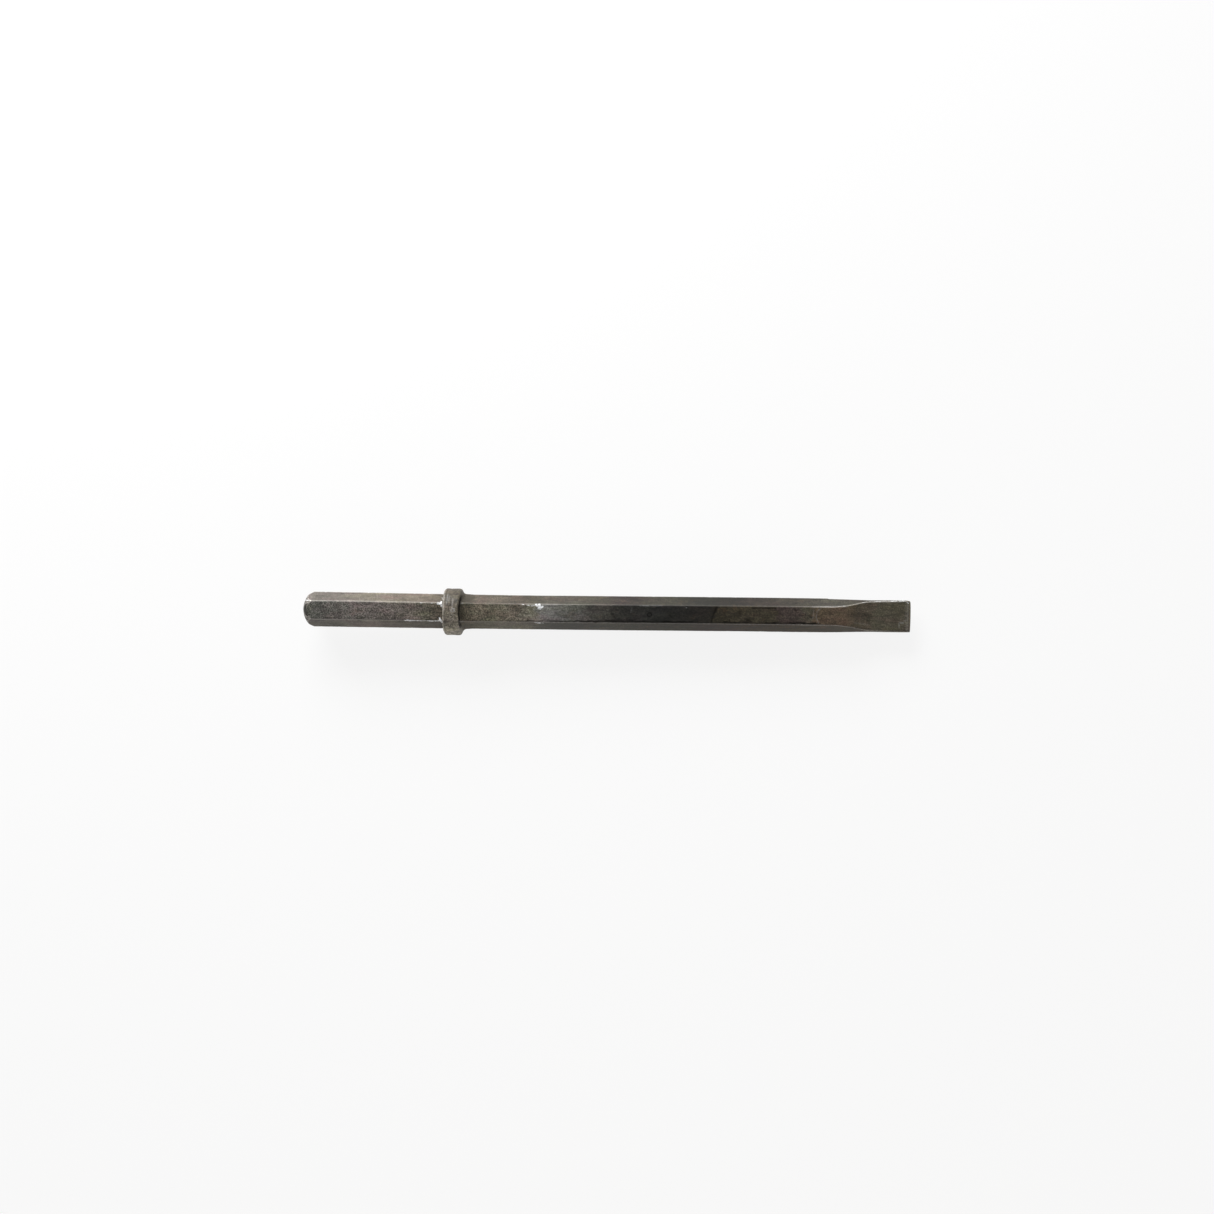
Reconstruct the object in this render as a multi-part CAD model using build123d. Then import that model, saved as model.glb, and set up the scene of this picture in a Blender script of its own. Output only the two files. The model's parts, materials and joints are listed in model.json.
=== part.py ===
from build123d import *
import os

# A hexagonal collared chisel, upset-forged in one piece from a rolled hexagonal bar.
#
# Frame: +X runs from the collar to the cutting edge and +Z is up, square to the broad faces of
# the blade. The origin is the centre of the collar's seat, on the shank side. Millimetres.

# Lengths along the bar, measured from the collar's seat
SHANK_LENGTH = 153.0
SEAT_TO_EDGE = 507.0

# Hexagonal bar: flats face +Z and -Z, ridges point along +Y and -Y
ACROSS_FLATS = 32.0
RIDGE_RADIUS = 2.0

# Struck end: a small flat land, then a low crown, then a tighter edge curve past the ridges
STRIKING_LAND_RADIUS = 4.0
CROWN_RADIUS = 22.0
CROWN_TURN = 20.0
EDGE_CURVE_RADIUS = 12.0
EDGE_CURVE_TURN = 55.0

# Round collar
COLLAR_DIAMETER = 50.4
COLLAR_LENGTH = 19.8
COLLAR_SEAT_EDGE_RADIUS = 2.7
COLLAR_BLADE_EDGE_RADIUS = 3.4
SEAT_ROOT_RADIUS = 1.2
BLADE_ROOT_RADIUS = 3.4

# Wedge and blade, seen from the side: flat, convex bend, ramp, concave bend, thin blade, bevel
WEDGE_START = 416.0
WEDGE_BEND_RADIUS = 73.0
WEDGE_ANGLE = 25.0
RAMP_LENGTH = 1.0
BLADE_BEND_RADIUS = 50.0
BLADE_ANGLE = 2.9
EDGE_BEVEL_LENGTH = 3.5
EDGE_THICKNESS = 0.8

# Blade seen from above: the ridges are forged down to the blade's width
TRIM_START = 411.0
TRIM_END = 463.0
BLADE_WIDTH = 33.7
WORN_CORNER_RADIUS = 3.2
SQUARE_CORNER_RADIUS = 0.8

# Room for the cutting shapes to pass outside the bar
CLEARANCE = 5.0
NARROW_BAND = 0.01


def hexagonal_bar():
    """The rolled bar, full length, with its six rounded ridges."""
    corner_radius = ACROSS_FLATS / 3**0.5
    section = RegularPolygon(radius=corner_radius, side_count=6)
    section = fillet(section.vertices(), RIDGE_RADIUS)
    start = Plane.YZ.offset(-SHANK_LENGTH)
    return extrude(start * section, amount=SHANK_LENGTH + SEAT_TO_EDGE)


def crowned_envelope():
    """A turned solid with the struck end's curve, wider than the bar everywhere else."""
    far_x = SEAT_TO_EDGE + CLEARANCE
    land = Line((-SHANK_LENGTH, 0), (-SHANK_LENGTH, STRIKING_LAND_RADIUS))
    crown = JernArc(land @ 1, land % 1, CROWN_RADIUS, -CROWN_TURN)
    edge_curve = JernArc(crown @ 1, crown % 1, EDGE_CURVE_RADIUS, -EDGE_CURVE_TURN)
    outside = (edge_curve @ 1).Y
    back = Polyline((edge_curve @ 1), (far_x, outside), (far_x, 0), (-SHANK_LENGTH, 0))
    profile = make_face([land, crown, edge_curve, back])
    return revolve(profile, axis=Axis.X)


def side_envelope():
    """The wedge and blade seen from the side, as wide as the bar."""
    half_flat = ACROSS_FLATS / 2
    behind_bar = -SHANK_LENGTH - CLEARANCE
    bevel_start = SEAT_TO_EDGE - EDGE_BEVEL_LENGTH
    flat = Line((behind_bar, half_flat), (WEDGE_START, half_flat))
    wedge_bend = JernArc(flat @ 1, flat % 1, WEDGE_BEND_RADIUS, -WEDGE_ANGLE)
    ramp = PolarLine(wedge_bend @ 1, RAMP_LENGTH, -WEDGE_ANGLE)
    blade_bend = JernArc(ramp @ 1, ramp % 1, BLADE_BEND_RADIUS, WEDGE_ANGLE - BLADE_ANGLE)
    blade_run = bevel_start - (blade_bend @ 1).X
    blade_slope = Vector(1, 0).rotate(Axis.Z, -BLADE_ANGLE)
    blade = Line(blade_bend @ 1, blade_bend @ 1 + blade_slope * (blade_run / blade_slope.X))
    bevel = Line(blade @ 1, (SEAT_TO_EDGE, EDGE_THICKNESS / 2))
    closing = Polyline(bevel @ 1, (SEAT_TO_EDGE, 0), (behind_bar, 0), flat @ 0)
    upper = make_face([flat, wedge_bend, ramp, blade_bend, blade, bevel, closing])
    outline = upper + mirror(upper, about=Plane.XZ)
    return extrude(Plane.XZ * outline, amount=ACROSS_FLATS, both=True)


def plan_envelope():
    """The bar and blade seen from above, taller than the bar."""
    half_bar = ACROSS_FLATS / 3**0.5
    half_blade = BLADE_WIDTH / 2
    behind_bar = -SHANK_LENGTH - CLEARANCE
    outline = make_face(
        Polyline(
            (behind_bar, -half_bar),
            (TRIM_START, -half_bar),
            (TRIM_END, -half_blade),
            (SEAT_TO_EDGE, -half_blade),
            (SEAT_TO_EDGE, half_blade),
            (TRIM_END, half_blade),
            (TRIM_START, half_bar),
            (behind_bar, half_bar),
            close=True,
        )
    )
    outline = fillet(edge_corners(outline)[0], SQUARE_CORNER_RADIUS)
    outline = fillet(edge_corners(outline)[-1], WORN_CORNER_RADIUS)
    return extrude(outline, amount=ACROSS_FLATS, both=True)


def edge_corners(outline):
    """The corners on the cutting edge's line, from -Y to +Y."""
    return outline.vertices().group_by(Axis.X)[-1].sort_by(Axis.Y)


def collar():
    """The round collar, with a flat seat on the shank side and rounded outer edges."""
    disc = extrude(Plane.YZ * Circle(COLLAR_DIAMETER / 2), amount=COLLAR_LENGTH)
    rims = disc.edges().filter_by(GeomType.CIRCLE).sort_by(Axis.X)
    disc = fillet(rims[0], COLLAR_SEAT_EDGE_RADIUS)
    rims = disc.edges().filter_by(GeomType.CIRCLE).sort_by(Axis.X)
    return fillet(rims[-1], COLLAR_BLADE_EDGE_RADIUS)


def root_edges(body, x):
    """The hexagonal outline where the bar meets the collar's face at x."""
    near_plane = body.edges().filter_by_position(Axis.X, x - NARROW_BAND, x + NARROW_BAND)
    return near_plane.filter_by(lambda edge: edge.length < ACROSS_FLATS)


def chisel():
    """The whole forging, as one closed solid."""
    bar = hexagonal_bar() & crowned_envelope() & side_envelope() & plan_envelope()
    body = bar + collar()
    body = fillet(root_edges(body, 0), SEAT_ROOT_RADIUS)
    return fillet(root_edges(body, COLLAR_LENGTH), BLADE_ROOT_RADIUS)


os.makedirs("parts", exist_ok=True)
export_step(chisel(), "parts/chisel.step")
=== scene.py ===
import json
import math

import bpy
import numpy as np
from mathutils import Matrix, Vector, noise


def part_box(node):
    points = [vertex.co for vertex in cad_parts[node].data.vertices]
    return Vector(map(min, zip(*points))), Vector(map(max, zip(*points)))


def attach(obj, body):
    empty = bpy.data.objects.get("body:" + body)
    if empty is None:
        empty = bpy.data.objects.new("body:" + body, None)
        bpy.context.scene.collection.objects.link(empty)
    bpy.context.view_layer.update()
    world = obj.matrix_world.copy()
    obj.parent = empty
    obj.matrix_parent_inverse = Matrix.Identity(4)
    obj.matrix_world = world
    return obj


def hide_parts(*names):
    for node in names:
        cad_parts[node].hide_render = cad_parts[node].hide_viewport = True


# A forged hexagonal chisel: the CAD solid is replaced by one dense mesh of the same shape, with
# the forging's waviness, scale, pits, dents and worn ridges, and one procedural steel material.
# Lengths are in millimetres unless a comment says metres, and MM turns them into metres.

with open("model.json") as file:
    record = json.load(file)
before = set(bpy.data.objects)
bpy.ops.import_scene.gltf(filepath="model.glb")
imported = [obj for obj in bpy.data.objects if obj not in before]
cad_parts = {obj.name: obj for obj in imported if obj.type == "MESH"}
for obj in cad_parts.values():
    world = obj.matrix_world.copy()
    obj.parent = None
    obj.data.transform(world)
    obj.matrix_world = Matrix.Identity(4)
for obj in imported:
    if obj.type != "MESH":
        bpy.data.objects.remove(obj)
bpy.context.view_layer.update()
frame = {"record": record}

MM = 0.001

# Main sizes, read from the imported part
MOUNTS = {mount["name"]: mount for mount in frame["record"]["mounts"]}
node_low, node_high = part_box("chisel")
STRUCK_END = node_low.x / MM
CUTTING_EDGE = node_high.x / MM
HALF_FLATS = MOUNTS["shank_flat_up"]["pos_m"][2] / MM
COLLAR_RADIUS = MOUNTS["collar_rim"]["dims"]["r_mm"]
SHARP_RIDGE = 2 * HALF_FLATS / math.sqrt(3)
RIDGE_SLOPE = 1 / math.sqrt(3)

# Wedge and blade, seen from the side
WEDGE_START = 416.0
WEDGE_BEND_RADIUS = 73.0
WEDGE_ANGLE = math.radians(25.0)
BLADE_BEND_RADIUS = 50.0
BLADE_ANGLE = math.radians(2.9)
BEVEL_LENGTH = 3.0
EDGE_HALF_THICKNESS = 0.45

# Blade seen from above: (x, half width) on the +Y side and on the -Y side
PLUS_WIDTHS = [(415, SHARP_RIDGE), (418, 17.8), (426, 17.6), (447, 17.2), (463, 16.9), (507, 17.3)]
MINUS_WIDTHS = [(411, SHARP_RIDGE), (429, 18.0), (447, 17.4), (463, 17.1), (507, 17.1)]
WORN_CORNER_RADIUS = 2.6
SQUARE_CORNER_RADIUS = 0.9

# The cutting edge bulges forward a little in the middle
EDGE_CROWN = 0.5
EDGE_CROWN_REACH = 12.0

# Collar: the seat's outer corner, the rim, and the shoulder that falls to the bar
SEAT_CORNER_RADIUS = 4.0
RIM_END = 16.5
SHOULDER_CORNER_RADIUS = 3.2
SHOULDER_ANGLE = math.radians(68.0)
SHOULDER_ROOT_RADIUS = 3.5

# The collar isn't quite central on the bar: it stands out more on the -Y side
COLLAR_OFFSET = 0.45

# The bar is left a little thicker beside the shoulder: (x, extra radius)
FLARE = [(17, 0.75), (22, 0.72), (26, 0.42), (30, 0.15), (35, 0.0)]

# The shank's ridges are spread a little by hammering: (x, extra half width)
SHANK_SPREAD = [(-153, 0.4), (-100, 0.4), (-5, 0.25), (0, 0.0)]

# The shoulder stands further back above the broad faces than above the ridges: (x, shift)
SHOULDER_SET_BACK = [(10, 0.0), (17, 1.3), (18.8, 2.1), (21.4, 3.1), (24, 3.2), (34, 0.0)]

# Struck end: crown and edge curve
CROWN_RADIUS = 24.0
CROWN_TURN = math.radians(40.0)
END_CURVE_RADIUS = 3.0
END_CURVE_TURN = math.radians(26.0)
END_TAPER_LENGTH = 4.7
END_BLEND = 0.35

# The bar isn't dead straight: it bows towards -Y
BOW = 0.75
BOW_CENTRE = 70.0
BOW_HALF_LENGTH = 270.0

# How far the rolled ridges and the blade's edges are rounded: (x, blur)
RIDGE_SOFTNESS = [(440, 0.28), (500, 0.3), (504, 0.24), (508, 0.1)]

# Points across the mesh: along one slanted side and half a broad face, and how far they crowd
# towards the ridges, from 0 to 1
SIDE_POINTS = 19
FACE_POINTS = 13
SIDE_CROWDING = 0.5
FACE_CROWDING = 0.4
OUTLINE_SAMPLES = 1024

# Rings of points along the mesh: their spacing, or their number where they are closest. They get
# closer a little before the wedge and again before the bevel.
BAR_STEP = 0.98
BLADE_STEP = 0.8
RIM_STEP = 0.75
FINE_STEP = 0.55
SEAT_RINGS = 15
EDGE_RINGS = 14
BLADE_RUN_START = WEDGE_START - 6
EDGE_RUN_START = CUTTING_EDGE - BEVEL_LENGTH - 1


# ---------------------------------------------------------------- shape

def arc(centre, radius, start, end, step):
    """Points on an arc, from angle start to angle end, about step apart."""
    count = max(2, int(abs(end - start) * radius / step) + 1)
    angles = np.linspace(start, end, count)
    return centre[0] + radius * np.cos(angles), centre[1] + radius * np.sin(angles)


def steps(start, end, step):
    """Even stations from start towards end, without end itself."""
    return np.linspace(start, end, max(2, round(abs(end - start) / step)), endpoint=False)


def along(x, stops):
    """A value that follows given stops (x, value) along the bar."""
    xs, values = zip(*stops)
    return np.interp(x, xs, values)


def fade(value, low, high):
    """0 up to low, 1 from high on and a straight rise between them (or a fall, if high < low)."""
    return np.clip((value - low) / (high - low), 0, 1)


def hump(value, centre, width):
    """1 where value is at the centre, falling smoothly to 0 over about twice the width."""
    return np.exp(-(((value - centre) / width) ** 2))


def wedge_profile():
    """(x, half thickness) from the wedge's start to the cutting edge."""
    bend_x, bend_h = arc((WEDGE_START, HALF_FLATS - WEDGE_BEND_RADIUS), WEDGE_BEND_RADIUS,
                         math.pi / 2, math.pi / 2 - WEDGE_ANGLE, FINE_STEP)
    steep, shallow = -math.pi / 2 - WEDGE_ANGLE, -math.pi / 2 - BLADE_ANGLE
    root = (bend_x[-1] - BLADE_BEND_RADIUS * math.cos(steep),
            bend_h[-1] - BLADE_BEND_RADIUS * math.sin(steep))
    root_x, root_h = arc(root, BLADE_BEND_RADIUS, steep, shallow, FINE_STEP)
    bevel = CUTTING_EDGE - BEVEL_LENGTH
    bevel_h = root_h[-1] - math.tan(BLADE_ANGLE) * (bevel - root_x[-1])
    xs = np.concatenate([[STRUCK_END], bend_x, root_x[1:], [bevel, CUTTING_EDGE]])
    hs = np.concatenate([[HALF_FLATS], bend_h, root_h[1:], [bevel_h, EDGE_HALF_THICKNESS]])
    return xs, hs


def half_width(x, widths, corner_radius):
    """Half width of the blade at x, with the cutting edge's corner rounded."""
    into_corner = fade(x, CUTTING_EDGE - corner_radius, CUTTING_EDGE)
    return along(x, widths) - corner_radius * (1 - np.sqrt(1 - into_corner**2))


def struck_end_stations():
    """Stations over the crowned end: x, and the radius that limits the bar there."""
    turn = math.pi - CROWN_TURN
    x1, r1 = arc((STRUCK_END + CROWN_RADIUS, 0), CROWN_RADIUS, math.pi, turn, FINE_STEP)
    centre = (x1[-1] - END_CURVE_RADIUS * math.cos(turn), r1[-1] - END_CURVE_RADIUS * math.sin(turn))
    x2, r2 = arc(centre, END_CURVE_RADIUS, turn, turn - END_CURVE_TURN, FINE_STEP)
    taper_x = x2[-1] + steps(0, END_TAPER_LENGTH, FINE_STEP)[1:]
    taper_slope = 1 / math.tan(CROWN_TURN + END_CURVE_TURN)
    taper_r = r2[-1] + (taper_x - x2[-1]) * taper_slope
    xs = np.concatenate([x1[1:], x2[1:], taper_x])
    limits = np.concatenate([r1[1:], r2[1:], taper_r])
    return xs, limits


def shoulder_profile():
    """The collar's fall to the bar: x, and the share of the collar's height left, 1 to 0."""
    top = math.pi / 2
    x1, r1 = arc((RIM_END, COLLAR_RADIUS - SHOULDER_CORNER_RADIUS), SHOULDER_CORNER_RADIUS,
                 top, top - SHOULDER_ANGLE, FINE_STEP)
    ramp_end = SHARP_RIDGE + SHOULDER_ROOT_RADIUS * (1 - math.cos(SHOULDER_ANGLE))
    ramp_x = x1[-1] + (r1[-1] - ramp_end) / math.tan(SHOULDER_ANGLE)
    root = (ramp_x + SHOULDER_ROOT_RADIUS * math.sin(SHOULDER_ANGLE),
            SHARP_RIDGE + SHOULDER_ROOT_RADIUS)
    x2, r2 = arc(root, SHOULDER_ROOT_RADIUS, -top - SHOULDER_ANGLE, -top, FINE_STEP)
    xs, radii = np.concatenate([x1, x2]), np.concatenate([r1, r2])
    return xs, (radii - SHARP_RIDGE) / (COLLAR_RADIUS - SHARP_RIDGE)


def stations():
    """All sections along the chisel.

    Each has its x, the share of the collar in it, the collar's radius, and the greatest radius
    that the struck end allows.
    """
    far = 10 * COLLAR_RADIUS
    end_x, end_limit = struck_end_stations()
    shank_x = steps(end_x[-1] + FINE_STEP, 0, BAR_STEP)
    seat_share = np.linspace(0, 1, SEAT_RINGS)
    seat_rise = COLLAR_RADIUS - SEAT_CORNER_RADIUS
    corner_x, corner_r = arc((SEAT_CORNER_RADIUS, seat_rise), SEAT_CORNER_RADIUS,
                             math.pi, math.pi / 2, FINE_STEP)
    rim_x = steps(SEAT_CORNER_RADIUS + FINE_STEP, RIM_END, RIM_STEP)
    shoulder_x, shoulder_share = shoulder_profile()
    bar_x = steps(shoulder_x[-1] + BAR_STEP, BLADE_RUN_START, BAR_STEP)
    blade_x = steps(BLADE_RUN_START, EDGE_RUN_START, BLADE_STEP)
    edge_x = np.linspace(EDGE_RUN_START, CUTTING_EDGE, EDGE_RINGS)
    pieces = [
        (end_x, 0, seat_rise, end_limit),
        (shank_x, 0, seat_rise, far),
        (np.zeros_like(seat_share), seat_share, seat_rise, far),
        (corner_x[1:], 1, corner_r[1:], far),
        (rim_x, 1, COLLAR_RADIUS, far),
        (shoulder_x, shoulder_share, COLLAR_RADIUS, far),
        (bar_x, 0, COLLAR_RADIUS, far),
        (blade_x, 0, COLLAR_RADIUS, far),
        (edge_x, 0, COLLAR_RADIUS, far),
    ]
    return [np.concatenate([np.broadcast_to(p[i], p[0].shape) for p in pieces]) for i in range(4)]


def section_corners(half_thick, plus, minus):
    """Corners (y, z) of one section, anticlockwise from the +Y ridge and back to it."""
    def quarter(width):
        shoulder = min(width, SHARP_RIDGE - RIDGE_SLOPE * half_thick)
        wall = min((SHARP_RIDGE - width) / RIDGE_SLOPE, half_thick)
        return [(width, 0), (width, wall), (shoulder, half_thick)]

    right, left = quarter(plus), quarter(minus)
    upper = right + [(0, half_thick)] + [(-y, z) for y, z in reversed(left)]
    lower = [(y, -z) for y, z in reversed(upper)]
    return np.array(upper + lower[1:], float)


# The corners that bound the mesh's eight runs of points, and the four between face and side
RUN_ENDS = [0, 2, 3, 4, 6, 8, 9, 10, 12]
FACE_CORNERS = [2, 4, 8, 10]
RIDGE_CORNERS = [0, 2, 4, 6, 8, 10, 12]


def run_places():
    """Where the mesh's points lie along each run, from 0 to 1, closer together at ridges."""
    side = np.linspace(0, 1, SIDE_POINTS, endpoint=False)
    side = side - SIDE_CROWDING * np.sin(2 * math.pi * side) / (2 * math.pi)
    to_middle = np.linspace(0, 1, FACE_POINTS, endpoint=False)
    to_middle = to_middle - FACE_CROWDING * np.sin(math.pi * to_middle) / math.pi
    from_middle = np.concatenate([[0], 1 - to_middle[:0:-1]])
    half = [side, to_middle, from_middle, side]
    return half + half


def smooth_outline(corners, softness):
    """A closed outline through the corners, evenly sampled, with its corners rounded."""
    lengths = np.concatenate([[0], np.cumsum(np.linalg.norm(np.diff(corners, axis=0), axis=1))])
    places = np.linspace(0, lengths[-1], OUTLINE_SAMPLES, endpoint=False)
    yz = np.interp(places, lengths, corners[:, 0]) + 1j * np.interp(places, lengths, corners[:, 1])
    waves = np.fft.fftfreq(OUTLINE_SAMPLES, 1 / OUTLINE_SAMPLES)
    blur = np.exp(-2 * (math.pi * softness * waves / lengths[-1]) ** 2)
    return lengths, places, np.fft.ifft(np.fft.fft(yz) * blur)


def section(x, half_thick, plus, minus, places_in_runs):
    """Mesh points of the bar at x, each with its distances to the nearest ridge and face corner."""
    corners = section_corners(half_thick, plus, minus)
    lengths, places, outline = smooth_outline(corners, float(along(x, RIDGE_SOFTNESS)))
    at = []
    for first, last, run in zip(RUN_ENDS[:-1], RUN_ENDS[1:], places_in_runs):
        at.append(lengths[first] + run * (lengths[last] - lengths[first]))
    at = np.concatenate(at)
    y = np.interp(at, places, outline.real, period=lengths[-1])
    z = np.interp(at, places, outline.imag, period=lengths[-1])
    to_ridge = np.abs(at[:, None] - lengths[RIDGE_CORNERS]).min(axis=1)
    to_face = np.abs(at[:, None] - lengths[FACE_CORNERS]).min(axis=1)
    return y, z, to_ridge, to_face


def smallest(a, b, blend):
    """The smaller of a and b, with a rounded crossing about blend wide."""
    share = np.clip(0.5 + 0.5 * (b - a) / blend, 0, 1)
    return b * (1 - share) + a * share - blend * share * (1 - share)


# A point counts as part of a broad face from this share of the section's full height, or within
# this margin beside the face's corner
FACE_HEIGHT_SHARE = 0.97
FACE_MARGIN = 0.6

# The shoulder's wall, by the share of the collar left, and the part of it above a broad face, where shade
# is painted
WALL_TOP = (0.86, 0.74)
WALL_FOOT = (0.14, 0.26)
WALL_OVER_FACE = (0.2, 0.55)

# The rubbed rim of the seat: its x and width, and the share of the collar from which it counts
SEAT_RIM = (1.0, 1.0)
RIM_SHARE = 0.9


def faced_distance(z, to_face):
    """Distance to the nearest face corner, above 0 on the broad faces and below 0 beside them."""
    flank = np.abs(z) < np.abs(z).max(axis=1, keepdims=True) * FACE_HEIGHT_SHARE
    return np.where(flank & (to_face > FACE_MARGIN), -to_face, to_face)


def painted_shoulder_shade(xs, collar_share, upright):
    """1 on the shoulder's wall above a broad face, where shade is painted dark, and 0 elsewhere."""
    wall = fade(collar_share, *WALL_TOP) * fade(collar_share, *WALL_FOOT)
    return wall * (xs > RIM_END) * fade(upright, *WALL_OVER_FACE)


def clean_shape():
    """The chisel's ideal surface as a grid of points, with the measures that wear needs."""
    xs, collar_share, collar_radius, end_limit = (column[:, None] for column in stations())
    profile_x, profile_h = wedge_profile()
    thick = np.interp(xs, profile_x, profile_h)
    plus = half_width(xs, PLUS_WIDTHS, WORN_CORNER_RADIUS)
    minus = half_width(xs, MINUS_WIDTHS, SQUARE_CORNER_RADIUS)
    runs = run_places()
    rows = [section(*sizes, runs) for sizes in np.hstack([xs, thick, plus, minus])]
    y, z, to_ridge, to_face = (np.array([row[i] for row in rows]) for i in range(4))

    radius = np.hypot(y, z)
    flared = radius + along(xs, FLARE)
    bar_radius = smallest(radius, end_limit, END_BLEND)
    new_radius = np.where(xs > SEAT_CORNER_RADIUS, flared, bar_radius)
    new_radius = new_radius * (1 - collar_share) + collar_radius * collar_share
    y, z = y * new_radius / radius, z * new_radius / radius

    upright = (z / new_radius) ** 2
    towards_edge = fade(xs, CUTTING_EDGE - EDGE_CROWN_REACH, CUTTING_EDGE)
    x = xs - along(xs, SHOULDER_SET_BACK) * upright
    x = x - EDGE_CROWN * towards_edge * (y / SHARP_RIDGE) ** 2
    y = y * (1 + along(xs, SHANK_SPREAD) / SHARP_RIDGE) - COLLAR_OFFSET * collar_share
    return {
        "points": np.stack([x, y, z], axis=-1),
        "to_ridge": to_ridge,
        "face": faced_distance(z, to_face),
        "collar": np.broadcast_to(collar_share, y.shape),
        "crevice": painted_shoulder_shade(xs, collar_share, upright),
        "rim": hump(xs, *SEAT_RIM) * (collar_share > RIM_SHARE),
        "cut_back": radius - new_radius,
    }


# ---------------------------------------------------------------- wear

def grid_normals(points):
    """Outward normals of the grid, whose columns run round the bar."""
    around = np.roll(points, -1, axis=1) - np.roll(points, 1, axis=1)
    lengthwise = np.gradient(points, axis=0)
    normals = np.cross(around, lengthwise)
    normals /= np.maximum(np.linalg.norm(normals, axis=-1, keepdims=True), 1e-9)
    outward = np.sign((normals[..., 1:] * points[..., 1:]).sum())
    return normals * outward


def field(points, size, octaves, shift):
    """Smooth noise, about -1 to 1, with features about size mm across."""
    scaled = points.reshape(-1, 3) / np.array(size, float) + shift
    values = [noise.fractal(Vector(p), 1.0, 2.0, octaves) for p in scaled]
    return np.array(values).reshape(points.shape[:-1])


def pits(points, size, reach):
    """1 at the middle of scattered pits, falling to 0 at reach (a share of size)."""
    scaled = points.reshape(-1, 3) / size
    nearest = [noise.voronoi(Vector(p))[0][0] for p in scaled]
    depth = np.clip(1 - np.array(nearest) / reach, 0, 1)
    return (depth * depth * (3 - 2 * depth)).reshape(points.shape[:-1])


# Relief: the skin stands a little proud, waves, lumps, fine scale and the collar's lumps roughen
# it, and pits, nicks, chips, stains and the ring mark cut it back
SURFACE_RISE = 0.15
WAVE_HEIGHT = 0.14
LUMP_HEIGHT = 0.10
SCALE_HEIGHT = 0.07
COLLAR_LUMP_HEIGHT = 0.26
PIT_DEPTH = 0.32
NICK_DEPTH = 0.45
CHIP_DEPTH = 0.35
STAIN_DEPTH = 0.12
RING_DEPTH = 0.35

# Noise in the relief: size of its features (a number or x, y, z), octaves, and a shift of its own
WAVES = ((70, 30, 30), 2, 0.0)
LUMPS = ((9, 6, 6), 3, 5.0)
FINE_SCALE = (2.6, 3, 9.0)
NICKS = ((6, 3, 3), 2, 21.0)
COLLAR_LUMPS = (7.0, 3, 31.0)
MARK_OUTLINES = (2.5, 2, 41.0)
STAIN_OUTLINES = (4.0, 2, 51.0)

# Nicks lie above this level of their noise, and some also on ridges that aren't worn
NICK_LEVEL = 0.05
UNWORN_NICKS = 0.3
SIDE_LINE_NICKS = 0.5

# Only chips stronger than this cut into the surface
CHIP_CUT_LEVEL = 0.9

# Pits: their spacing and reach, and the level of the lumps above which they lie
PIT_SPACING = 6.5
PIT_REACH = 0.32
PIT_LEVEL = -0.25

# The relief fades to this share over this distance from the cutting edge
THIN_REACH = 10.0
THIN_SHARE = 0.12

# How rough the surface is, and how worn the broad faces' ridges are on the +Y and -Y sides
ROUGHNESS = [(-153, 1.0), (-5, 1.0), (0, 1.2), (22, 1.2), (40, 0.9), (90, 0.8), (106, 0.35),
             (165, 0.4), (185, 0.6), (260, 0.55), (320, 0.6), (400, 0.45), (450, 0.35), (500, 0.3)]
PLUS_WEAR = [(-153, 1.0), (-135, 0.65), (-60, 0.55), (-20, 0.6), (-2, 0.8), (18, 0.12), (60, 0.12),
             (84, 0.4), (108, 0.5), (130, 0.25), (200, 0.12), (330, 0.12), (380, 0.25),
             (402, 0.5), (411, 1.1), (450, 1.3), (480, 1.1), (503, 1.0)]
MINUS_WEAR = [(-153, 0.9), (-130, 0.6), (-60, 0.45), (-34, 0.5), (-3, 0.7), (0, 0.2), (30, 0.3),
              (95, 0.35), (110, 0.45), (200, 0.3), (370, 0.4), (395, 0.8), (425, 0.9), (445, 0.6),
              (503, 0.3)]

# The wear line lies just outside the face's edge on the bar and on it along the blade: (x, inset)
WEAR_LINE_INSET = [(-153, -0.8), (430, -0.8), (462, 0.2), (507, 0.3)]
WEAR_LINE_WIDTH = [(-153, 0.75), (390, 0.7), (412, 0.5), (445, 0.45), (507, 0.45)]

# The rubbed line on the outermost ridges: how strong and wide it is, and how far from a broad face
SIDE_LINE = 0.6
SIDE_LINE_WIDTH = 0.8
SIDE_LINE_FROM_FACE = 4.0

# The struck end's rim: how far in it is cut back and its width, where it sets in, how little it
# shows at the broad faces, and how fast it gains towards the sides
END_RIM = (0.3, 0.25)
END_RIM_ONSET = 0.2
END_RIM_AT_FACES = 0.15
END_RIM_RISE = 3.0

# The rim of the cutting edge's bevel: its distance from the bevel's start, and its width
BEVEL_RIM_GAP = 0.6
BEVEL_RIM_WIDTH = 1.1

# The seat's rim is rubbed, and kept bright on the lit +Y side as a painted highlight: where this fades in,
# and the share left at -Y
SEAT_RIM_SIDE = (-4.0, 4.0)
SEAT_RIM_AT_MINUS = 0.2

# How bright the rims are rubbed
SEAT_RIM_WEAR = 0.6
END_RIM_WEAR = 0.8
BEVEL_RIM_WEAR = 0.2

# How dark the painted shade is in the shoulder's crevice, and how dark grime is in the pits and over the
# struck end
CREVICE_PAINTED_SHADE = 0.95
PIT_GRIME = 0.3
END_GRIME = 0.35
END_GRIME_ONSET = 0.8

# How bright the +Y edge of the wedge and blade is painted, partly bared steel and partly a painted
# highlight from the light above: (x, strength)
BLADE_EDGE_SHINE = [(404, 0.0), (416, 0.5), (455, 0.6), (500, 0.66), (507, 0.56)]

# How ragged the outlines of the marks are
CHIP_RAGGEDNESS = 0.4
SCRATCH_RAGGEDNESS = 0.2
STAIN_RAGGEDNESS = 0.6

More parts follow.
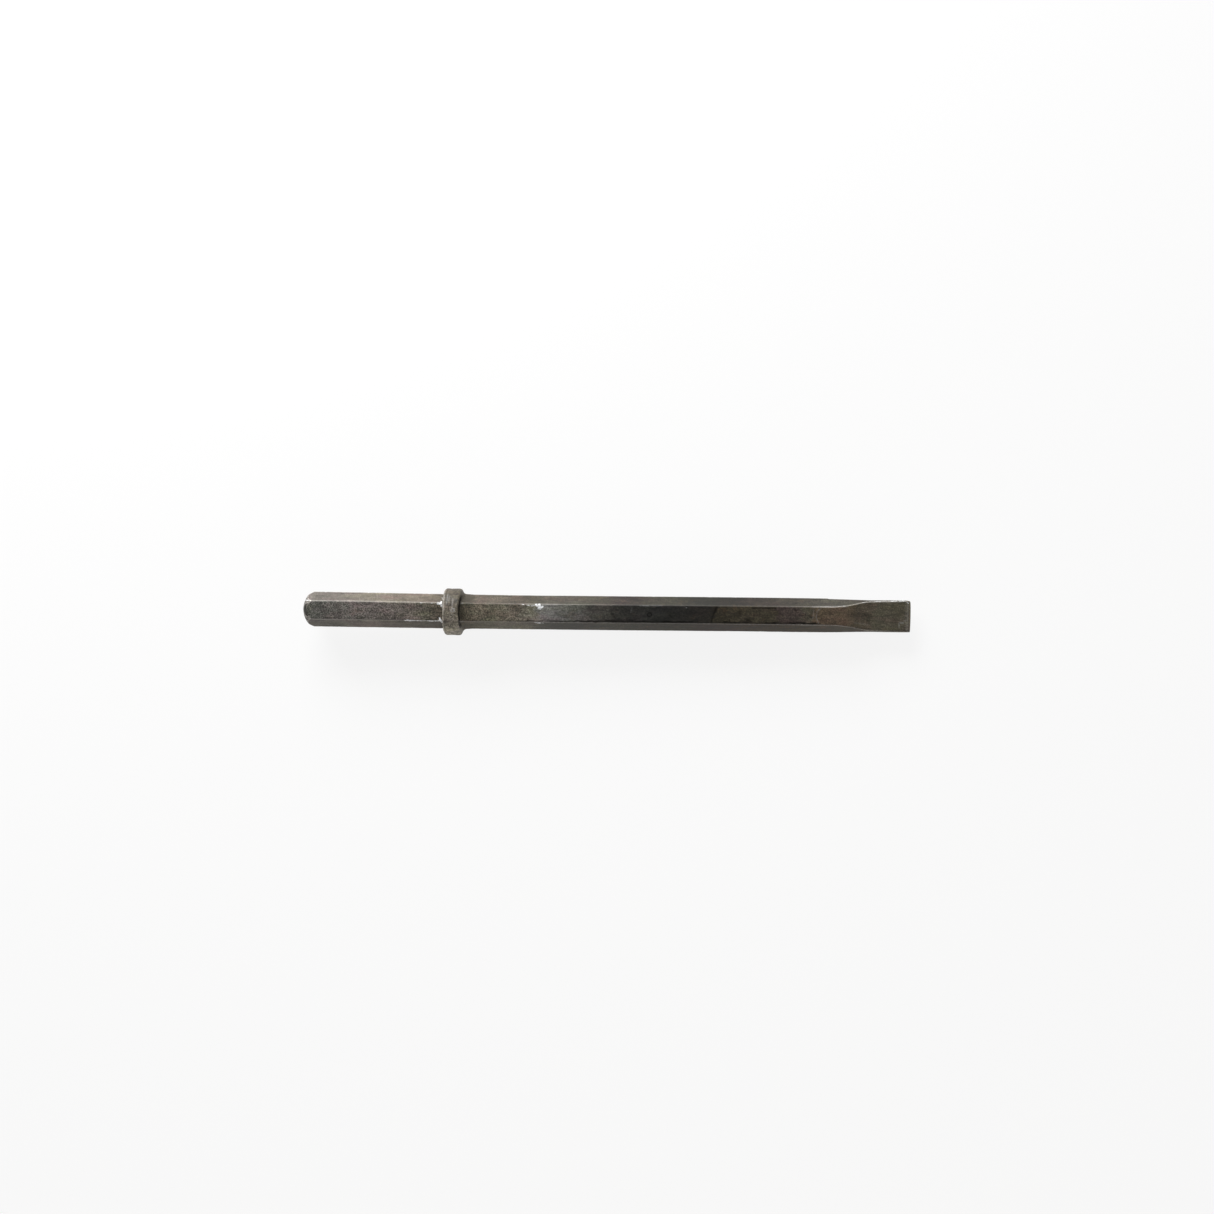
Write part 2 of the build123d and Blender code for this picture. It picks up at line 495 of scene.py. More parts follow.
# Marks on the upper side, as seen from above: from (x, y) to (x, y), half width, strength
CHIPS_AND_HIGHLIGHTS = [
    # The first two marks, on the struck end's +Y corner, are painted highlights
    ((-150.4, 10.0), (-145.0, 9.9), 0.8, 0.72),
    ((-149.4, 11.6), (-147.4, 13.8), 0.8, 0.34),
    ((-148.6, -11.0), (-146.8, -13.4), 0.6, 0.5),
    ((-4.6, 9.0), (-1.8, 7.8), 1.5, 1.1),
    ((-2.2, 10.6), (-1.4, 5.6), 0.9, 0.9),
    ((-2.6, 15.4), (-0.8, 12.6), 0.9, 0.45),
    ((-3.2, -7.4), (-1.4, -11.0), 1.3, 1.1),
    ((-6.0, -10.2), (-2.5, -9.2), 0.9, 0.95),
    ((2.6, 17.0), (1.8, 11.0), 0.6, 0.35),
    # A painted highlight on the cutting edge's worn +Y corner
    ((501.4, 15.8), (504.0, 14.6), 0.8, 0.6),
    ((-41.0, -9.5), (-32.0, -9.7), 0.85, 0.95),
    ((-31.0, -9.7), (-6.0, -9.9), 0.65, 0.7),
    ((-25.0, 9.6), (-22.5, 9.4), 0.6, 0.5),
    ((-13.0, 9.2), (-11.0, 9.2), 0.6, 0.5),
    ((-20.5, -15.4), (-18.5, -15.5), 0.7, 0.4),
    ((85.0, 9.2), (87.5, 8.9), 0.7, 0.6),
    ((90.5, 8.8), (93.0, 8.4), 0.8, 0.7),
    ((95.5, 8.2), (98.5, 7.9), 0.9, 0.8),
    ((100.6, 8.4), (104.2, 8.0), 1.5, 1.6),
    ((103.8, 6.7), (106.8, 6.9), 1.5, 1.6),
    ((102.6, 5.4), (105.2, 4.8), 1.0, 0.8),
    ((98.5, -10.4), (108.0, -10.7), 0.6, 0.7),
    ((261.8, 7.1), (262.1, 7.1), 0.55, 1.1),
]
SCRATCHES = [
    ((18.0, -9.9), (23.0, -9.9), 0.5, 0.10),
    ((19.5, 9.2), (21.5, 9.4), 0.6, 0.12),
    ((5.4, 19.0), (4.6, 9.0), 0.6, 0.12),
    ((7.4, 17.0), (7.0, 12.0), 0.6, 0.09),
    ((11.2, 14.0), (10.8, 6.0), 0.7, 0.11),
    ((12.4, -7.0), (9.0, -7.6), 0.7, 0.11),
    ((12.0, -1.6), (9.4, -2.8), 0.7, 0.09),
    ((203.6, 6.9), (202.2, 1.8), 0.6, 0.06),
    ((212.0, 8.9), (236.0, 8.9), 0.6, 0.07),
    ((407.0, 8.8), (402.6, 4.6), 0.5, 0.10),
    ((402.6, 4.6), (402.2, -2.0), 0.5, 0.10),
    ((402.2, -2.0), (404.4, -7.6), 0.5, 0.10),
    ((399.4, 6.0), (398.4, -4.0), 0.6, 0.06),
    ((444.0, -7.2), (460.0, -9.2), 0.8, 0.03),
    ((501.0, -5.0), (498.4, -6.7), 0.6, 0.17),
    ((498.4, -6.7), (494.2, -7.3), 0.6, 0.13),
    ((494.2, -7.3), (494.0, -11.8), 0.6, 0.10),
    ((398.0, 9.3), (436.0, 10.6), 0.8, 0.08),
    ((501.0, 14.0), (501.6, -14.0), 0.9, 0.04),
]
STAINS = [
    ((-149.0, 5.0), (-146.0, -5.0), 2.4, 0.6),
    ((4.6, 14.4), (4.8, 12.2), 0.9, 0.45),
    ((9.2, 14.0), (8.8, 8.0), 0.7, 0.5),
    ((13.2, 12.0), (13.0, 5.0), 1.0, 0.45),
    ((14.6, 20.0), (14.0, 8.0), 2.4, 0.2),
    ((4.0, 8.0), (4.6, -5.0), 2.4, 0.15),
    ((2.6, -4.0), (2.8, -10.0), 1.2, 0.7),
    ((1.6, -10.0), (2.0, -18.0), 0.8, 0.4),
    ((-136.0, 5.5), (-128.0, 3.0), 2.5, 0.4),
    ((-118.0, 4.5), (-112.0, -3.0), 2.5, 0.2),
    ((47.0, -1.5), (53.0, -5.5), 3.0, 0.25),
    ((76.5, 6.0), (83.0, 2.0), 3.0, 0.4),
    ((159.0, 4.6), (163.0, 2.6), 2.4, 0.45),
    ((160.0, -2.0), (164.0, -6.0), 2.6, 0.3),
    ((184.0, -7.4), (205.0, -8.0), 1.8, 0.6),
    ((182.0, 1.0), (186.0, -6.0), 2.0, 0.4),
    ((244.5, -1.0), (246.0, -3.0), 1.2, 0.5),
    ((294.6, 7.8), (292.4, 2.5), 1.3, 0.85),
    ((292.4, 2.5), (289.0, -7.8), 1.1, 0.75),
    ((308.6, -5.4), (308.4, -8.8), 0.9, 0.85),
    ((319.5, 3.4), (319.8, 0.4), 1.9, 0.5),
    ((321.0, -7.0), (324.0, -7.8), 1.6, 0.5),
    ((328.0, -5.6), (331.0, -6.6), 2.0, 0.8),
    ((334.0, 7.8), (358.0, 7.6), 1.0, 0.75),
    ((340.0, 1.0), (350.0, -3.0), 3.0, 0.2),
    ((378.6, 7.4), (380.4, 4.6), 1.2, 0.6),
    ((360.0, -7.0), (388.0, -7.4), 1.2, 0.4),
    ((396.0, -0.5), (397.5, -1.5), 1.2, 0.5),
    ((441.0, 1.6), (462.0, 0.8), 2.0, 0.32),
    ((459.5, 0.8), (464.0, 0.0), 1.1, 0.45),
    ((458.0, -4.2), (461.0, -4.8), 1.1, 0.35),
    ((487.0, 12.6), (488.0, 8.6), 1.6, 0.28),
    ((452.0, 14.4), (466.0, 15.7), 0.8, 0.3),
    ((466.0, 15.7), (499.0, 15.9), 0.8, 0.3),
    ((470.0, -15.6), (497.0, -15.7), 0.8, 0.3),
]

# Rings on the upper side: (x, y, radius, how dark or, if below 0, how light)
RINGS = [(222.5, -0.7, 2.1, 1.0), (11.4, 2.4, 1.9, -0.22)]
RING_LINE_WIDTH = 0.6


def marks(points, strokes, raggedness):
    """How strongly each point is marked by strokes on the upper side, with ragged outlines."""
    level = np.zeros(points.shape[:-1])
    for start, end, breadth, strength in strokes:
        away = distance_to_stroke(points, start, end) * (1 + raggedness)
        level = np.maximum(level, strength * hump(away, 0, breadth))
    return level * (points[..., 2] > 0)


def rings(points, dark):
    """How strongly each point is marked by the dark rings, or else by the light ones."""
    level = np.zeros(points.shape[:-1])
    for x, y, radius, strength in RINGS:
        if (strength > 0) == dark:
            from_centre = np.hypot(points[..., 0] - x, points[..., 1] - y)
            level = np.maximum(level, abs(strength) * hump(from_centre, radius, RING_LINE_WIDTH))
    return level * (points[..., 2] > 0)


def distance_to_stroke(points, start, end):
    """Distance in plan from each point to the line from start to end."""
    start, end = np.array(start, float), np.array(end, float)
    run = end - start
    offset = points[..., :2] - start
    share = np.clip(offset @ run / (run @ run), 0, 1)
    return np.linalg.norm(offset - share[..., None] * run, axis=-1)


def rubbed_lines(shape):
    """The rubbed lines along the broad faces' edges and along the outermost ridges, 0 to 1."""
    x = shape["points"][..., 0]
    line = hump(shape["face"], along(x, WEAR_LINE_INSET), along(x, WEAR_LINE_WIDTH))
    side_line = hump(shape["to_ridge"], 0, SIDE_LINE_WIDTH) * (shape["face"] < -SIDE_LINE_FROM_FACE)
    return line, SIDE_LINE * side_line


def rubbed_rims(shape):
    """The rubbed rims of the collar's seat, the struck end and the cutting edge's bevel."""
    x, y, z = (shape["points"][..., i] for i in range(3))
    sideways = END_RIM_RISE * y**2 / (y**2 + z**2)
    end_rim = hump(shape["cut_back"], *END_RIM) * fade(shape["cut_back"], 0, END_RIM_ONSET)
    end_rim = end_rim * np.clip(sideways, END_RIM_AT_FACES, 1)
    bevel_rim = hump(x, CUTTING_EDGE - BEVEL_LENGTH - BEVEL_RIM_GAP, BEVEL_RIM_WIDTH)
    # Wear on the seat's rim, with a painted highlight kept to the lit +Y side
    seat_rim = shape["rim"] * np.maximum(fade(y, *SEAT_RIM_SIDE), SEAT_RIM_AT_MINUS)
    return SEAT_RIM_WEAR * seat_rim + END_RIM_WEAR * end_rim + BEVEL_RIM_WEAR * bevel_rim


def wear_masks(shape):
    """Where the forging is lumpy, pitted, nicked, rubbed, scratched and stained, where chips bare the
    steel, and where highlights are painted.
    """
    points, off_collar = shape["points"], 1 - shape["collar"]
    x, y, z = (points[..., i] for i in range(3))
    line, side_line = rubbed_lines(shape)
    wear_level = np.where(y > 0, along(x, PLUS_WEAR), along(x, MINUS_WEAR))
    lumps = field(points, *LUMPS)
    ragged = field(points, *MARK_OUTLINES)
    # Painted highlight, partly real wear, along the +Y top edge of the wedge and blade
    shine = line * along(x, BLADE_EDGE_SHINE) * (y > 0) * (z > 0)
    return {
        "lumps": lumps,
        "pitted": pits(points, PIT_SPACING, PIT_REACH) * (lumps > PIT_LEVEL),
        "nicked": np.maximum(line, SIDE_LINE_NICKS * side_line) * off_collar * (UNWORN_NICKS + wear_level),
        "rubbed": np.maximum(line, side_line) * off_collar * wear_level + rubbed_rims(shape),
        "chips_and_glints": np.maximum(marks(points, CHIPS_AND_HIGHLIGHTS, CHIP_RAGGEDNESS * ragged), shine),
        "scratched": np.maximum(marks(points, SCRATCHES, SCRATCH_RAGGEDNESS * ragged),
                                rings(points, dark=False)),
        "stained": marks(points, STAINS, STAIN_RAGGEDNESS * field(points, *STAIN_OUTLINES)),
        "ring": rings(points, dark=True),
        "end": fade(shape["cut_back"], 0, END_GRIME_ONSET),
    }


def relief(points, collar, rough, wear):
    """How far the surface stands above the ideal one at each point, in mm."""
    nicks = np.clip(field(points, *NICKS) - NICK_LEVEL, 0, 1)
    height = SURFACE_RISE + WAVE_HEIGHT * field(points, *WAVES)
    height += LUMP_HEIGHT * rough * wear["lumps"]
    height += SCALE_HEIGHT * rough * field(points, *FINE_SCALE)
    height += COLLAR_LUMP_HEIGHT * collar * field(points, *COLLAR_LUMPS)
    height -= PIT_DEPTH * rough * wear["pitted"]
    height -= NICK_DEPTH * wear["nicked"] * nicks
    height -= CHIP_DEPTH * np.clip(wear["chips_and_glints"] - CHIP_CUT_LEVEL, 0, 1)
    height -= STAIN_DEPTH * wear["stained"]
    height -= RING_DEPTH * wear["ring"]
    return height


def bowed(points):
    """The points with the bar's slight bow, kept between the struck end and the cutting edge."""
    x, y, z = (points[..., i] for i in range(3))
    arch = np.clip((x - BOW_CENTRE) / BOW_HALF_LENGTH, -1, 1)
    bow = BOW * (0.5 + 0.5 * np.cos(math.pi * arch))
    return np.stack([np.clip(x, STRUCK_END, CUTTING_EDGE), y - bow, z], axis=-1)


def worn_surface(shape):
    """The grid after forging and use, and the masks that the material needs."""
    points, collar = shape["points"], shape["collar"]
    x = points[..., 0]
    rough = along(x, ROUGHNESS)
    wear = wear_masks(shape)
    height = relief(points, collar, rough, wear)
    height *= np.clip((CUTTING_EDGE - x) / THIN_REACH, THIN_SHARE, 1)
    worn = bowed(points + grid_normals(points) * height[..., None])
    # Grime in the pits and over the struck end, plus the painted shade on the shoulder's wall
    grime_and_shade = CREVICE_PAINTED_SHADE * shape["crevice"] + PIT_GRIME * wear["pitted"] * rough + END_GRIME * wear["end"]
    masks = {
        "rubbed": wear["rubbed"],
        "chips_and_glints": wear["chips_and_glints"],
        "scratched": wear["scratched"],
        "stain_and_shade": np.clip(wear["stained"] + wear["ring"] + grime_and_shade, 0, 1),
        "collar": collar,
        "face": shape["face"],
        "rough": rough,
    }
    return worn, masks


# ---------------------------------------------------------------- mesh

def grid_faces(rows, columns):
    """Quads of a tube of rows rings, with both ends closed by quads across the ring."""
    faces = []
    for row in range(rows - 1):
        for column in range(columns):
            nxt = (column + 1) % columns
            faces.append((row * columns + column, row * columns + nxt,
                          (row + 1) * columns + nxt, (row + 1) * columns + column))
    for start, flip in ((0, True), ((rows - 1) * columns, False)):
        for column in range(columns // 2):
            lower, nxt = (columns - column) % columns, columns - column - 1
            face = (start + column, start + column + 1, start + nxt, start + lower)
            corners = tuple(dict.fromkeys(face))
            faces.append(corners[::-1] if flip else corners)
    return faces


def forged_chisel():
    """The visible chisel, as one closed mesh with its wear and painted-shade masks as attributes."""
    points, masks = worn_surface(clean_shape())
    rows, columns = points.shape[:2]
    mesh = bpy.data.meshes.new("forged_chisel")
    mesh.from_pydata((points.reshape(-1, 3) * MM).tolist(), [], grid_faces(rows, columns))
    for name, values in masks.items():
        layer = mesh.attributes.new(name, "FLOAT", "POINT")
        layer.data.foreach_set("value", np.ascontiguousarray(values, dtype=np.float32).ravel())
    mesh.polygons.foreach_set("use_smooth", [True] * len(mesh.polygons))
    mesh.validate()
    mesh.update()
    piece = bpy.data.objects.new("forged_chisel", mesh)
    bpy.context.scene.collection.objects.link(piece)
    return piece


# ---------------------------------------------------------------- material

class Graph:
    """Short calls for building one material's nodes."""

    def __init__(self, name):
        self.material = bpy.data.materials.new(name)
        self.material.use_nodes = True
        self.tree = self.material.node_tree
        self.tree.nodes.clear()

    def node(self, kind, inputs, output=0, **settings):
        """Add a node and return one of its outputs, or the node itself if it has none."""
        made = self.tree.nodes.new("ShaderNode" + kind)
        for name, value in settings.items():
            setattr(made, name, value)
        for socket, value in inputs.items():
            if isinstance(value, bpy.types.NodeSocket):
                self.tree.links.new(value, made.inputs[socket])
            else:
                made.inputs[socket].default_value = value
        return made.outputs[output] if made.outputs else made

    def split(self, vector):
        """The vector's x, y and z."""
        return self.node("SeparateXYZ", {0: vector}).node.outputs

    def attribute(self, name):
        return self.node("Attribute", {}, "Fac", attribute_name=name)

    def math(self, operation, a, b=0.0, clamp=False):
        return self.node("Math", {0: a, 1: b}, operation=operation, use_clamp=clamp)

    def span(self, value, low, high, to_low=0.0, to_high=1.0):
        """The value eased from the range low..high to the range to_low..to_high."""
        sockets = {"Value": value, "From Min": low, "From Max": high,
                   "To Min": to_low, "To Max": to_high}
        return self.node("MapRange", sockets, interpolation_type="SMOOTHSTEP")

    def mix(self, factor, a, b, blend="MIX"):
        return self.node("Mix", {0: factor, 6: a, 7: b}, 2, data_type="RGBA", blend_type=blend)

    def noise(self, position, scale, detail, roughness):
        """A noise pattern, stretched by its scale along each axis."""
        stretched = self.node("VectorMath", {0: position, 1: scale}, operation="MULTIPLY")
        sockets = {"Vector": stretched, "Scale": 1.0, "Detail": detail, "Roughness": roughness}
        return self.node("TexNoise", sockets)

    def multiply(self, colour, factor):
        return self.mix(1.0, colour, factor, "MULTIPLY")

    def ramp(self, factor, stops):
        made = self.tree.nodes.new("ShaderNodeValToRGB")
        set_stops(made, stops)
        self.tree.links.new(factor, made.inputs["Fac"])
        return made.outputs["Color"]


def set_stops(ramp, stops):
    """Give a new colour ramp its stops (place, colour)."""
    elements = ramp.color_ramp.elements
    elements[0].position, elements[0].color = stops[0][0], (*stops[0][1], 1)
    elements[1].position, elements[1].color = stops[-1][0], (*stops[-1][1], 1)
    for place, colour in stops[1:-1]:
        elements.new(place).color = (*colour, 1)


# Scale colours along the broad faces and along the slanted sides above +Y and -Y: (x, colour)
FACE_TONES = [
    (-153, (0.068, 0.068, 0.060)),
    (-130, (0.089, 0.088, 0.077)),
    (-104, (0.098, 0.095, 0.083)),
    (-98, (0.104, 0.094, 0.086)),
    (-50, (0.102, 0.088, 0.078)),
    (-26, (0.092, 0.080, 0.066)),
    (-22, (0.094, 0.087, 0.066)),
    (18, (0.051, 0.046, 0.030)),
    (42, (0.104, 0.096, 0.068)),
    (62, (0.102, 0.094, 0.067)),
    (96, (0.138, 0.128, 0.101)),
    (104, (0.139, 0.136, 0.126)),
    (122, (0.135, 0.131, 0.123)),
    (140, (0.082, 0.081, 0.074)),
    (166, (0.049, 0.047, 0.040)),
    (181, (0.038, 0.036, 0.030)),
    (184, (0.023, 0.022, 0.019)),
    (235, (0.011, 0.011, 0.010)),
    (288, (0.014, 0.012, 0.009)),
    (295, (0.025, 0.021, 0.012)),
    (325, (0.038, 0.031, 0.020)),
    (360, (0.036, 0.031, 0.019)),
    (364, (0.042, 0.032, 0.027)),
    (385, (0.045, 0.035, 0.029)),
    (389, (0.054, 0.048, 0.035)),
    (396, (0.053, 0.046, 0.032)),
    (400, (0.070, 0.051, 0.032)),
    (420, (0.086, 0.063, 0.042)),
    (436, (0.100, 0.073, 0.048)),
    (450, (0.082, 0.067, 0.046)),
    (470, (0.072, 0.065, 0.046)),
    (507, (0.076, 0.066, 0.047)),
]
PLUS_SIDE_TONES = [
    (-153, (0.160, 0.146, 0.130)),
    (-143, (0.135, 0.122, 0.108)),
    (-136, (0.102, 0.091, 0.079)),
    (-110, (0.110, 0.098, 0.084)),
    (-80, (0.148, 0.128, 0.105)),
    (-20, (0.116, 0.096, 0.074)),
    (26, (0.041, 0.034, 0.023)),
    (42, (0.090, 0.074, 0.056)),
    (66, (0.079, 0.066, 0.049)),
    (92, (0.049, 0.041, 0.029)),
    (130, (0.059, 0.054, 0.042)),
    (165, (0.051, 0.046, 0.033)),
    (190, (0.028, 0.021, 0.018)),
    (212, (0.024, 0.019, 0.015)),
    (224, (0.030, 0.027, 0.019)),
    (256, (0.028, 0.025, 0.017)),
    (272, (0.016, 0.015, 0.011)),
    (308, (0.0118, 0.0099, 0.0067)),
    (334, (0.022, 0.016, 0.013)),
    (348, (0.024, 0.019, 0.014)),
    (375, (0.029, 0.024, 0.018)),
    (410, (0.044, 0.040, 0.030)),
    (507, (0.050, 0.044, 0.034)),
]
MINUS_SIDE_TONES = [
    (-153, (0.100, 0.090, 0.078)),
    (-120, (0.082, 0.075, 0.063)),
    (-80, (0.124, 0.108, 0.087)),
    (-52, (0.082, 0.070, 0.056)),
    (-20, (0.064, 0.057, 0.044)),
    (26, (0.058, 0.048, 0.030)),
    (60, (0.102, 0.092, 0.068)),
    (88, (0.098, 0.087, 0.064)),
    (104, (0.046, 0.043, 0.034)),
    (150, (0.034, 0.031, 0.024)),
    (172, (0.046, 0.042, 0.030)),
    (205, (0.037, 0.033, 0.023)),
    (222, (0.024, 0.021, 0.014)),
    (262, (0.024, 0.020, 0.012)),
    (276, (0.024, 0.016, 0.011)),
    (312, (0.026, 0.017, 0.011)),
    (326, (0.024, 0.016, 0.008)),
    (375, (0.027, 0.0175, 0.0067)),
    (410, (0.038, 0.029, 0.016)),
    (507, (0.050, 0.044, 0.032)),
]

# The collar's colours: darker towards +Y, a painted shade where the key light falls, and lighter towards
# -Y, painted light where it doesn't, to cancel the key light's shading; a plain colour on its lower half;
# and where (y, z) they change
COLLAR_PLUS_PAINTED_SHADE = (0.070, 0.059, 0.043, 1)
COLLAR_MINUS_PAINTED_LIGHT = (0.252, 0.226, 0.185, 1)
COLLAR_UNDER_TONE = (0.095, 0.083, 0.066, 1)
COLLAR_PAINTED_LIGHT_SPAN = (-26.0, 16.0)
COLLAR_UNDER_SPAN = (0.0, 16.0)

# Where the tones change: across a broad face's edge, and by the share of the collar
FACE_FADE = (-0.4, 0.4)
COLLAR_FADE = (0.1, 0.6)

# The ground strip at the cutting edge fades in between these distances from the edge
EDGE_TONE = (0.135, 0.112, 0.074, 1)
EDGE_STRIP = (2.4, 1.4)

RUBBED_STEEL = (0.72, 0.68, 0.62, 1)
# Fresh steel is painted near white and kept mostly non-metallic: a painted glint in place of the bare
# steel's reflection
FRESH_STEEL_AND_GLINT = [(0.36, (0.42, 0.45, 0.48)), (0.48, (0.86, 0.88, 0.90)), (0.56, (0.98, 0.98, 0.98))]
# The colour of grime, also used for the painted shade in the shoulder's crevice and along the -Y edges
GRIME_AND_PAINTED_SHADE = (0.004, 0.0035, 0.003, 1)
RUST = (0.100, 0.056, 0.030, 1)
RUST_LEVELS = (0.56, 0.72)
RUST_SHARE = 0.22
STAIN_AND_SHADE_SHARE = 0.95

# Noise patterns: how often each repeats per mm along x, y and z, its detail and its roughness
BORDER_PATTERN = ((0.10, 0.20, 0.20), 5, 0.7)
HUE_PATTERN = ((0.035, 0.09, 0.09), 3, 0.6)
BLOTCH_PATTERN = ((0.06, 0.16, 0.16), 6, 0.72)
RUST_PATTERN = ((0.06, 0.10, 0.10), 5, 0.65)
CRUST_PATTERN = ((0.22, 0.22, 0.22), 5, 0.8)
STREAK_PATTERN = ((0.07, 0.9, 0.9), 4, 0.65)
GRAIN_PATTERN = ((0.8, 0.9, 0.9), 2, 0.7)
FINE_PATTERN = ((1.0, 1.2, 1.2), 4, 0.65)
FRAY_PATTERN = ((0.35, 0.9, 0.9), 4, 0.75)
EDGE_SHADE_PATTERN = ((0.12, 0.3, 0.3), 3, 0.6)
EDGE_SHADE_GAP_PATTERN = ((0.04, 0.3, 0.3), 4, 0.6)

# The noise's usual low and high
NOISE_RANGE = (0.3, 0.7)

# Bare metal is frayed by noise, each kind between two strengths. Chips and scratches fray in a
# narrower range of it, and chips show from the first of two levels and fully from the second.
RUBBED_FRAY = (0.15, 1.1)
FRAY_RANGE = (0.36, 0.62)
CHIP_FRAY = (0.3, 1.4)
SCRATCH_FRAY = (0.2, 1.5)
CHIP_ONSET = (0.25, 0.8)

# What the patterns do to the scale: (noise, tint) and (noise, brightness)
HUE_TINTS = [(0.38, (1.05, 0.955, 0.985)), (0.5, (1, 1, 1)), (0.62, (1.0, 1.02, 0.94))]
BLOTCHES = [(0.3, 0.6), (0.5, 1.0), (0.7, 1.4)]
CRUST = [(0.38, 0.50), (0.5, 1.0), (0.62, 1.5)]
STREAKS = [(0.35, 0.78), (0.65, 1.22)]
SPECKLE = [(0.34, 0.38), (0.48, 0.83), (0.64, 2.25)]

# Zone borders wander this far to either side
BORDER_WANDER = 7.0

# Spans from one range (low, high) to another (low, high). By x: speckle on the slanted sides,
# against 1 on the broad faces. By the surface's roughness: how strong speckle and streaks are.
SIDE_SPECKLE = (0.0, 150.0, 0.5, 1.1)
SPECKLE_BY_ROUGHNESS = (0.1, 1.0, 0.4, 1.0)
STREAKS_BY_ROUGHNESS = (0.3, 0.8, 1.0, 0.3)

# The painted shade along the broad faces' -Y edges, a dark line where the rounded ridge faces away from
# the light: where it fades in and out along the bar and how far from the face's edge, how far it wanders,
# its gaps, and its strength off and on that stretch
EDGE_SHADE_START = (60, 110)
EDGE_SHADE_END = (398, 412)
EDGE_SHADE_INSET = (-0.1, 0.6)
EDGE_SHADE_REACH = (1.2, 2.8)
EDGE_SHADE_WANDER = 0.7
EDGE_SHADE_GAPS = (0.38, 0.54, 0.2, 1.0)
EDGE_SHADE_STRENGTH = (0.2, 0.9)

# How rough, metallic and shiny the scale, bare steel, fresh chips, and grime with painted shade are
SCALE_ROUGHNESS = (0.48, 0.66)
BARE_ROUGHNESS_CHANGE = -0.16
SCALE_METALLIC = 0.06
RUBBED_METALLIC = 0.9
# Chips keep this share of the metallic, so their near-white colour stands as a painted glint
CHIPPED_METALLIC_SHARE = 0.25
SCALE_SPECULAR = 0.32
GRIME_AND_SHADE_SPECULAR = 0.1

# The finest relief: the shares of its two noises, its strength by roughness, its depth in metres
FINE_RELIEF = 0.35
GRAIN_RELIEF = 0.5
RELIEF_STRENGTH = (0.25, 0.55)
RELIEF_DEPTH = 0.0006


def placed(tones):
    """Tones with x turned into a place between the struck end and the cutting edge."""
    length = CUTTING_EDGE - STRUCK_END
    return [((x - STRUCK_END) / length, colour) for x, colour in tones]


def greys(stops):
    """Ramp stops of plain grey levels."""
    return [(place, (level,) * 3) for place, level in stops]


def on_broad_face(g):
    """1 on the broad faces and 0 on the slanted sides."""
    return g.span(g.attribute("face"), *FACE_FADE)


def zone_colour(g, position):
    """The forging scale's colour by zone, with ragged borders between the zones, and the collar's painted
    light and shade.
    """
    x, y, z = g.split(position)
    wander = g.span(g.noise(position, *BORDER_PATTERN), *NOISE_RANGE, -BORDER_WANDER, BORDER_WANDER)
    shifted = g.math("ADD", x, wander)
    place = g.node("MapRange", {"Value": shifted, "From Min": STRUCK_END, "From Max": CUTTING_EDGE})
    plus_side = g.math("GREATER_THAN", y, 0.0)
    sides = g.mix(plus_side, g.ramp(place, placed(MINUS_SIDE_TONES)),
                  g.ramp(place, placed(PLUS_SIDE_TONES)))
    colour = g.mix(on_broad_face(g), sides, g.ramp(place, placed(FACE_TONES)))
    # Painted light and shade: the collar is painted lighter towards -Y and darker towards +Y, against the
    # key light
    collar_painted_light = g.mix(g.span(y, *COLLAR_PAINTED_LIGHT_SPAN), COLLAR_MINUS_PAINTED_LIGHT, COLLAR_PLUS_PAINTED_SHADE)
    collar_painted_light = g.mix(g.span(z, *COLLAR_UNDER_SPAN), COLLAR_UNDER_TONE, collar_painted_light)
    colour = g.mix(g.span(g.attribute("collar"), *COLLAR_FADE), colour, collar_painted_light)
    strip_start, strip_full = (CUTTING_EDGE - distance for distance in EDGE_STRIP)
    return g.mix(g.span(x, strip_start, strip_full), colour, EDGE_TONE)


def patterned(g, position, colour, pattern, stops):
    """The colour multiplied by a noise pattern's tints or brightness."""
    return g.multiply(colour, g.ramp(g.noise(position, *pattern), stops))


def speckle_strength(g, position):
    """How strongly the speckle shows: fully on rough broad faces, less on the shank's sides."""
    x = g.split(position)["X"]
    on_face = on_broad_face(g)
    on_sides = g.math("MULTIPLY", g.span(x, *SIDE_SPECKLE), g.math("SUBTRACT", 1.0, on_face))
    by_roughness = g.span(g.attribute("rough"), *SPECKLE_BY_ROUGHNESS)
    return g.math("MULTIPLY", by_roughness, g.math("ADD", on_face, on_sides), clamp=True)


def mottled(g, position, colour, grain):
    """The colour with patches of hue, soft blotches, rust, drawn-out streaks and fine speckle."""
    colour = patterned(g, position, colour, HUE_PATTERN, HUE_TINTS)
    colour = patterned(g, position, colour, BLOTCH_PATTERN, greys(BLOTCHES))
    rust = g.noise(position, *RUST_PATTERN)
    colour = g.mix(g.span(rust, *RUST_LEVELS, 0.0, RUST_SHARE), colour, RUST)
    crusted = patterned(g, position, colour, CRUST_PATTERN, greys(CRUST))
    colour = g.mix(g.attribute("collar"), colour, crusted)
    streaked = patterned(g, position, colour, STREAK_PATTERN, greys(STREAKS))
    colour = g.mix(g.span(g.attribute("rough"), *STREAKS_BY_ROUGHNESS), colour, streaked)
    speckled = g.multiply(colour, g.ramp(grain, greys(SPECKLE)))
    return g.mix(speckle_strength(g, position), colour, speckled)


